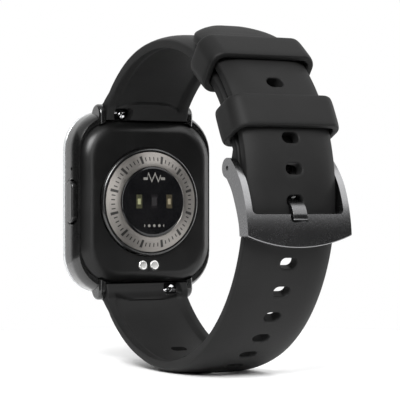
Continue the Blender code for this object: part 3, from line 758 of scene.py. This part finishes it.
def strap_ring(inner, outer, half, edge, channel=0.0, arch=None):
    """One cross-section of the strap, from a point on its inner face to one on its outer face.

    It has a channel between two rails inside, rounded side edges of the given thickness, and a
    crowned outer face. arch(x) is below 0 where the channel hasn't started yet.
    """
    inner = np.array(inner)
    outer = np.array(outer)
    thick = float(np.linalg.norm(outer - inner))
    normal = (outer - inner) / thick
    edge = min(edge, thick)
    r_in = min(0.3, edge * 0.3)
    r_out = min(0.5, edge * 0.5)
    ring = []
    for i in range(ACROSS + 1):
        x = (half - r_in) * (-1 + 2 * i / ACROSS)
        depth = channel * smooth(CHANNEL_HALF - abs(x), 0.0, 0.9)
        if arch is not None:
            depth *= smooth(arch(x), 0.0, 1.0)
        ring.append((x, depth))
    ring += [(half - r_in + r_in * math.cos(a), r_in + r_in * math.sin(a))
             for a in np.radians([-60, -30, 0])]
    ring += [(half, (r_in + edge - r_out) / 2)]
    ring += [(half - r_out + r_out * math.cos(a), edge - r_out + r_out * math.sin(a))
             for a in np.radians([0, 25, 50, 70])]
    side_edge = ring[ACROSS + 1:]
    span = half - r_out * 0.66
    for i in range(ACROSS + 1):
        x = span * (1 - 2 * i / ACROSS)
        ring.append((x, edge + (thick - edge) * (1 - abs(x / span) ** 5.0)))
    ring += [(-x, h) for x, h in reversed(side_edge)]
    return [(x, *(inner + normal * h)) for x, h in ring]


def resample(points, shares):
    """Points at the given shares of a line's length."""
    p = np.array(points, float)
    run = np.concatenate([[0], np.cumsum(np.linalg.norm(np.diff(p, axis=0), axis=1))])
    run /= run[-1]
    return [(np.interp(s, run, p[:, 0]), np.interp(s, run, p[:, 1])) for s in shares]


def channel_start(z):
    """How the channel starts near the strap's root: in an arch across the strap."""
    return lambda x: (z - (18.7 + 2.6 * (1 - (x / 8.8) ** 4))) / 0.45


def strap_rings(angles, radius, thickness, root_radius):
    """The rings from the end that is rolled round the bar to the last angle of the plain strap."""
    inner = [(3.0, 17.95), (2.72, 18.9), (2.42, 19.8), polar(root_radius, 41)]
    outer = arc(*BAR, 1.95, -88, -30, 6) + arc(*BAR, 1.7, -15, 38, 6)
    bend_end = polar(root_radius + thickness(46), 47)
    bend = spline([outer[-1], (5.75, 21.4), (4.6, 22.1), bend_end], 6)[1:]
    steps = 19
    shares = np.linspace(0, 1, steps + 1)
    lower = resample(inner + [polar(root_radius, a) for a in (44, 47)], shares)
    upper = resample(outer + bend, shares)
    rings = []
    for i, (a, b) in enumerate(zip(lower, upper)):
        edge = math.dist(a, b) - CROWN * smooth(i / steps, 0.55, 1.0)
        rings.append(strap_ring(a, b, STRAP_HALF, edge, CHANNEL, channel_start(a[1])))
    for angle in angles:
        thick = thickness(angle)
        a = polar(radius(angle), angle)
        b = polar(radius(angle) + thick, angle)
        arch = channel_start(a[1]) if angle < 60 else None
        rings.append(strap_ring(a, b, STRAP_HALF, thick - CROWN, CHANNEL, arch))
    return rings


def strap_cuts(strap, end):
    """The bore for the strap bar, and the window in which the release pin's knob slides."""
    carve(strap, rod_tool(f"cut_bar{end}", 0.95, -12, 12, BAR[0], end * BAR[1]))
    side = -end
    lean = 0.192  # how far the window's middle rises for each mm of depth
    rings = []
    for grow, level in ((0.35, 0.0), (0.35, 2.55), (0.0, 3.1), (0.0, 6.2)):
        rings.append([(side * KNOB_X + x, level, end * (18.35 + level * lean + z))
                      for x, z in rounded(2.0 + grow, 1.35 + grow, 0.9)])
    carve(strap, tool(f"cut_slot{end}", *loft(rings)))
    mouth = [(1.0, 17.0), (1.0, 18.4), (5.0, 19.0), (5.0, 17.0)]
    mouth = [(y, end * z) for y, z in mouth]
    carve(strap, tool(f"cut_open{end}", *slab(mouth, *sorted((side * 4.2, side * 8.0)))))


def short_thickness(degrees):
    return 2.45 + 0.5 * smooth(153 - degrees, 0, 12) + 0.35 * smooth(90 - degrees, 0, 30)


def short_strap():
    """The upper half, whose nose is rolled round the buckle's bar, with a notch for the tang."""
    radius = 31.6
    rings = strap_rings(np.linspace(49, 157, 56), lambda degrees: radius, short_thickness, radius)
    # inner and outer faces down to the end of the nose
    nose = [((-51.92, 10.0), (-53.95, 10.6)), ((-51.45, 8.4), (-54.3, 8.6)),
            ((-51.3, 7.0), (-54.48, 7.1)), ((-51.32, 6.3), (-54.5, 6.3)),
            ((-51.55, 5.6), (-54.27, 5.6)), ((-51.95, 5.12), (-53.85, 5.12)),
            ((-52.5, 4.84), (-53.3, 4.84))]
    for a, b in nose:
        rings.append(strap_ring(a, b, 9.9, math.dist(a, b) - 0.25))
    strap = piece("short_strap_2", *loft(rings), STRAP)
    strap_cuts(strap, 1)
    carve(strap, rod_tool("cut_pin", 0.75, -12, 12, *PIN))
    notch = [(x, z + PIN[1] - 1.0) for x, z in rounded(2.0, 4.0, 0.6)]
    carve(strap, tool("cut_notch", *slab(notch, -60, -45, "xz")))
    settle(strap, 42)
    declare(strap, "short_strap", ("short_strap",))


def long_radius(degrees):
    """The long strap's inner face, which widens to pass over the short strap."""
    share = min(1.0, max(0.0, (degrees - 75.0) / 135.0))
    return 32.3 + 2.55 * share


def hole_angles():
    """The hole that the tang is in, then 11 towards the case and 4 towards the tip."""
    tang_hole = 180.2
    angles = [tang_hole]
    for way, count in ((-1, 11), (1, 4)):
        angle = tang_hole
        for _ in range(count):
            angle += way * math.degrees(HOLE_STEP / (long_radius(angle) + HOLE_DEPTH))
            angles.append(angle)
    return angles


def long_strap():
    """The lower half, with its holes and a rounded tip that thins out at its very end.

    It is drawn above the loop's centre, like the short one, and then turned over.
    """
    tip, reach, tip_radius = 253.2, 6.4, 36.0
    plain_end = tip - math.degrees(reach / tip_radius)
    rings = strap_rings(np.linspace(49, plain_end, 104), long_radius,
                        lambda degrees: LONG_THICKNESS, 32.3)
    squareness = 0.85
    for turn in np.radians(np.linspace(88, 4, 22)):
        from_tip = reach * (1 - math.cos(turn) ** squareness)
        angle = tip - math.degrees(from_tip / tip_radius)
        half = STRAP_HALF * math.sin(turn) ** squareness
        fade = math.sqrt(max(0.02, 1 - max(0.0, 1 - from_tip / 0.8) ** 2))
        middle = long_radius(angle) + 1.4
        a = polar(middle - 1.38 * fade, angle)
        b = polar(middle + 1.38 * fade, angle)
        rings.append(strap_ring(a, b, half, 1.75 * fade))
    rings = [[(x, y, -z) for x, y, z in ring] for ring in rings]
    strap = piece("long_strap_2", *loft(rings), STRAP)
    strap_cuts(strap, -1)
    for i, angle in enumerate(hole_angles()):
        carve(strap, strap_hole(i, angle))
    settle(strap, 42)
    declare(strap, "long_strap", ("long_strap",))


def loop_axes(degrees):
    """The directions out from the loop's centre and along the loop, as Y and Z."""
    turn = math.radians(degrees)
    out = np.array([math.cos(turn), math.sin(turn)])
    return out, np.array([-out[1], out[0]])


def strap_hole(index, degrees):
    """A round-ended slot through the strap, its mouth eased on the outer side."""
    out, along = loop_axes(-degrees)
    middle = np.array([LOOP_Y, 0.0]) + out * (long_radius(degrees) + HOLE_DEPTH)
    rings = []
    levels = ((-2.5, 0.0), (1.34, 0.0), (1.44, 0.05), (1.52, 0.13), (1.59, 0.24), (2.6, 0.24))
    for depth, grow in levels:
        ring = []
        for u, v in rounded(1.8 + grow, 1.1 + grow, 1.05 + grow, 8, 2):
            y, z = middle + out * depth + along * v
            ring.append((u, y, z))
        rings.append(ring)
    return tool(f"cut_hole{index}", *loft(rings))


def keeper(name, degrees, body):
    """A soft rubber loop round both straps, of a rounded square section."""
    out, along = loop_axes(degrees)
    centre = np.array([LOOP_Y, 0.0]) + out * 34.3
    half_length = 3.45
    squareness = 0.36
    outline = rounded(11.95, 4.8, 3.1, 12, 8)
    hollow = rounded(10.32, 3.3, 1.5, 12, 8)
    section = [(math.copysign(abs(c) ** squareness, c), math.copysign(abs(s) ** squareness, s))
               for c, s in arc(0, 0, 1.0, 0, 360, 40)[:-1]]
    rings = []
    for (x1, h1), (x0, h0) in zip(outline, hollow):
        ring = []
        for c, s in section:
            share = 0.5 + 0.5 * c
            swell = 1.0 + 0.02 * (1 - s * s)
            x = x0 + (x1 - x0) * share * swell
            h = h0 + (h1 - h0) * share * swell
            y, z = centre + out * h + along * (half_length * s)
            ring.append((x, y, z))
        rings.append(ring)
    piece(f"{name}_2", *loft(rings, loop=True), STRAP, body, "silicone", (name,), 60)


# ---- buckle ------------------------------------------------------------------------------

def buckle_frame():
    """Two arms and a bowed bar, cut out of one outline, with a notch for the tang in the bar."""
    front = spline([(-54.35, 8.05), (-56.3, 6.1), (-58.15, 3.5), (-59.45, 0.5), (-60.3, -2.5),
                    (-60.8, -5.5), (-60.95, -9.0)], 6)
    back = spline([(-57.8, -9.0), (-57.5, -5.2), (-56.8, -2.7), (-55.8, -0.3), (-54.5, 2.2),
                   (-52.8, 4.3)], 6)
    boss = arc(*PIN, 2.0, -50, 96, 18)
    item = piece("buckle_frame_2", *slab(front + back + boss, -11.6, 11.6), GUNMETAL)
    gap = 10.2
    window = [(-gap, 14.0), (-gap, -1.4)] + arc(1.0 - gap, -1.4, 1.0, 180, 270, 6)
    window += arc(gap - 1.0, -1.4, 1.0, 270, 360, 6) + [(gap, 14.0)]
    carve(item, tool("cut_window", *slab(window, -70.0, -40.0, "xz")))
    behind = [(-58.9, -12.0), (-58.9, 0.0), (-40.0, 0.0), (-40.0, -12.0)]
    carve(item, tool("cut_back", *slab(behind, -gap, gap)))
    notch = [(-1.85, 0.0), (-1.85, -3.5)] + arc(-1.4, -3.5, 0.45, 180, 270, 4)
    notch += arc(1.4, -3.5, 0.45, 270, 360, 4) + [(1.85, 0.0)]
    carve(item, tool("cut_notch", *slab(notch, -66.0, -59.4, "xz")))
    # the bar's lower edge is an arc seen from the front, eased where it meets the front face
    front_z, front_y = zip(*sorted((z, y) for y, z in front))
    rings = []
    for depth, radius in ((-4.0, 30.84), (0.0, 30.84), (0.14, 31.0), (12.0, 31.0)):
        edge = [(x, float(np.interp(z, front_z, front_y)) + depth, z)
                for x, z in arc(0.0, 22.2, radius, -58, -122, 32)]
        rings.append(edge + [(-20.0, -61.0 + depth, -20.0), (20.0, -61.0 + depth, -20.0)])
    carve(item, tool("cut_belly", *loft(rings)))
    carve(item, rod_tool("cut_pin", 0.46, -14.0, 14.0, *PIN))
    round_edges(item, 0.2, 2, 32)
    settle(item, 30)
    declare(item, "buckle_frame", ("buckle_frame",))


def buckle_tang():
    """A bent prong that goes through the strap and rests in the bar's notch."""
    eye = arc(*PIN, 1.4, -100, 190, 20)
    outer = spline([(-54.3, 4.9), (-55.0, 3.1), (-55.5, 2.0), (-56.1, 1.2), (-57.6, 0.6),
                    (-59.2, -0.15), (-60.2, -1.1), (-60.76, -2.3), (-60.9, -3.2), (-61.0, -3.5)], 6)
    inner = spline([(-59.85, -3.6), (-59.6, -2.4), (-59.2, -1.55), (-58.5, -0.9), (-57.2, -0.5),
                    (-55.6, -0.1), (-54.4, 1.6), (-53.4, 4.2)], 6)
    # the tang's darker gunmetal is painted shade
    item = piece("buckle_tang_2", *slab(outer + inner + eye, -1.55, 1.55), GUNMETAL_PAINTED_SHADE)
    carve(item, rod_tool("cut_eye", 0.75, -3.0, 3.0, *PIN))
    round_edges(item, 0.2, 3, 32)
    settle(item, 30)
    declare(item, "buckle_tang", ("buckle_tang",))


def release_pin(prefix, end):
    """The sliding half of the quick-release bar, with its knob in the strap's window."""
    side = -end
    name = f"{prefix}_release_pin"
    bar = (BAR[0], end * BAR[1])
    rod = [(0.0, 10.8), (0.3, 10.8), (0.42, 10.68), (0.42, 9.75), (0.6, 9.55), (0.76, 9.5),
           (0.78, 9.4), (0.78, 4.95), (0.74, 4.9), (0.45, 4.85), (0.45, 1.35), (0.0, 1.35)]
    profile = [(radius, side * x) for radius, x in rod]
    item = piece(f"{name}_2", *lathe(profile, (0.0, *bar), "x", 40), STEEL)
    knob = [(0.0, 2.7), (0.36, 2.7), (0.5, 2.62), (0.55, 2.5), (0.55, 2.1), (0.46, 2.0),
            (0.46, 1.7), (0.55, 1.6), (0.55, 0.3), (0.0, 0.3)]
    points, faces = lathe(knob, (0.0, 0.0, 0.0), "y-", 32)
    lean = Matrix.Rotation(math.radians(end * 25), 3, "X")
    root = Vector((side * KNOB_X, *bar))
    points = [tuple(lean @ Vector(point) + root) for point in points]
    carve(item, tool(f"{prefix}_knob", points, faces), "UNION")
    settle(item, 35)
    declare(item, name, (name,))


# ---- what stays as the CAD made it -------------------------------------------------------

CARRIED = {
    STEEL: ("upper_bar_tube", "upper_bar_fixed_tip", "upper_bar_spring", "lower_bar_tube",
            "lower_bar_fixed_tip", "lower_bar_spring", "board_screw_a", "board_screw_b",
            "board_screw_c", "board_screw_d", "button_switch", "vibration_motor", "microphone"),
    # the buckle's bar gets the black matte plastic so that it shows as dark as the shade in its
    # hole: painted shade
    MATTE: ("buckle_bar",),
    SEAL: ("display_gasket", "back_gasket", "button_seal"),
    INNER: ("inner_carrier", "speaker", "photodiode"),
    BLACK_PANEL: ("display_panel",),
    BOARD: ("main_board", "sensor_board"),
    FOIL: ("battery",),
    LED: ("green_led", "infrared_led"),
    CONTACT: ("charge_magnet_a", "charge_magnet_b"),
}


def carried_over():
    """Give the CAD meshes that stay their finish."""
    for finish, names in CARRIED.items():
        for name in names:
            mesh = frame["nodes"][name].data
            mesh.materials.clear()
            mesh.materials.append(finish)


# ---- stage -------------------------------------------------------------------------------

def stage():
    """A pale disc under the loop, to stand on."""
    f = Finish("pale_floor", Specular_IOR_Level=0.3)
    cloud = f.noise(9, 3)
    f.colour(f.blend(cloud, (0.90, 0.90, 0.90, 1), (0.94, 0.94, 0.94, 1)))
    f.rough(cloud, 0.6, 0.7)
    radius, depth, clearance = 130.0, 5.0, 0.02
    top = CAD_BOX[0][2] / MM - clearance
    disc = [(0.0, 0.0), (radius, 0.0), (radius, -depth), (0.0, -depth)]
    points, faces = lathe(disc, (0.0, 0.0, 0.0), "y-", 64)
    points = [(x, STAGE_Y + z, top - y) for x, y, z in points]
    floor = piece("floor", points, faces, f.material)


def world():
    """White to the camera and to reflections from behind the watch, dark in front of it."""
    studio = bpy.data.worlds.new("studio")
    bpy.context.scene.world = studio
    studio.use_nodes = True
    nodes, links = studio.node_tree.nodes, studio.node_tree.links
    facing = nodes.new("ShaderNodeVectorMath")
    facing.operation = "DOT_PRODUCT"
    facing.inputs[1].default_value = (0.48, 0.877, 0.0)
    links.new(nodes.new("ShaderNodeTexCoord").outputs["Generated"], facing.inputs[0])
    behind = nodes.new("ShaderNodeMapRange")
    behind.interpolation_type = "SMOOTHSTEP"
    behind.inputs["From Min"].default_value = 0.0
    behind.inputs["From Max"].default_value = 0.6
    links.new(facing.outputs["Value"], behind.inputs["Value"])
    white = nodes.new("ShaderNodeMath")
    white.operation = "MAXIMUM"
    links.new(nodes.new("ShaderNodeLightPath").outputs["Is Camera Ray"], white.inputs[0])
    links.new(behind.outputs["Result"], white.inputs[1])
    mix = nodes.new("ShaderNodeMix")
    mix.data_type = "RGBA"
    mix.inputs[6].default_value = (0.02, 0.02, 0.02, 1)
    mix.inputs[7].default_value = (1.0, 1.0, 1.0, 1)
    links.new(white.outputs[0], mix.inputs["Factor"])
    background = nodes["Background"]
    background.inputs["Strength"].default_value = 1.0
    links.new(mix.outputs[2], background.inputs["Color"])


SOFT_BOXES = (
    # name, place, width and height, watts
    ("strip_box", (-80, -480, 110), (90, 360), 0.42),
    ("right_box", (460, -60, 60), (160, 400), 0.7),
    ("top_box", (220, -340, 380), (520, 420), 1.6),
    ("front_box", (-300, -400, 330), (260, 260), 5.0),
)


def lights():
    """Four soft boxes, and a very soft sun from above."""
    collection = bpy.context.scene.collection
    for name, place, size, watts in SOFT_BOXES:
        lamp = bpy.data.lights.new(name, "AREA")
        lamp.shape = "RECTANGLE"
        lamp.size, lamp.size_y = size[0] * MM, size[1] * MM
        lamp.energy = watts
        item = bpy.data.objects.new(name, lamp)
        item.location = [c * MM for c in place]
        aim = Vector((0, STAGE_Y, 0)) * MM - item.location
        item.rotation_euler = aim.to_track_quat("-Z", "Y").to_euler()
        collection.objects.link(item)
    sun = bpy.data.lights.new("sky", "SUN")
    sun.energy = 1.0
    sun.angle = math.radians(100)
    item = bpy.data.objects.new("sky", sun)
    item.rotation_euler = (math.radians(4), math.radians(-8), 0.0)
    collection.objects.link(item)


def camera():
    """The camera that was solved from the photograph."""
    scene = bpy.context.scene
    scene.view_settings.view_transform = "Standard"
    lens = bpy.data.cameras.new("camera")
    lens.sensor_width = 36.0
    lens.lens = 167.7
    lens.clip_end = 100.0
    item = bpy.data.objects.new("camera", lens)
    item.location = (-187.8 * MM, -362.4 * MM, -0.5 * MM)
    item.rotation_euler = (math.radians(90.13), 0.0, math.radians(-28.82))
    scene.collection.objects.link(item)
    scene.camera = item


# ---- the watch ---------------------------------------------------------------------------

cover_glass()
middle_frame()
side_button()
back_cover()
sensor()
short_strap()
long_strap()
keeper("fixed_keeper", 152.8, "short_strap")
keeper("free_keeper", 127.4, "free_keeper")
buckle_frame()
buckle_tang()
release_pin("upper", 1)
release_pin("lower", -1)
carried_over()
stage()
world()
lights()
camera()
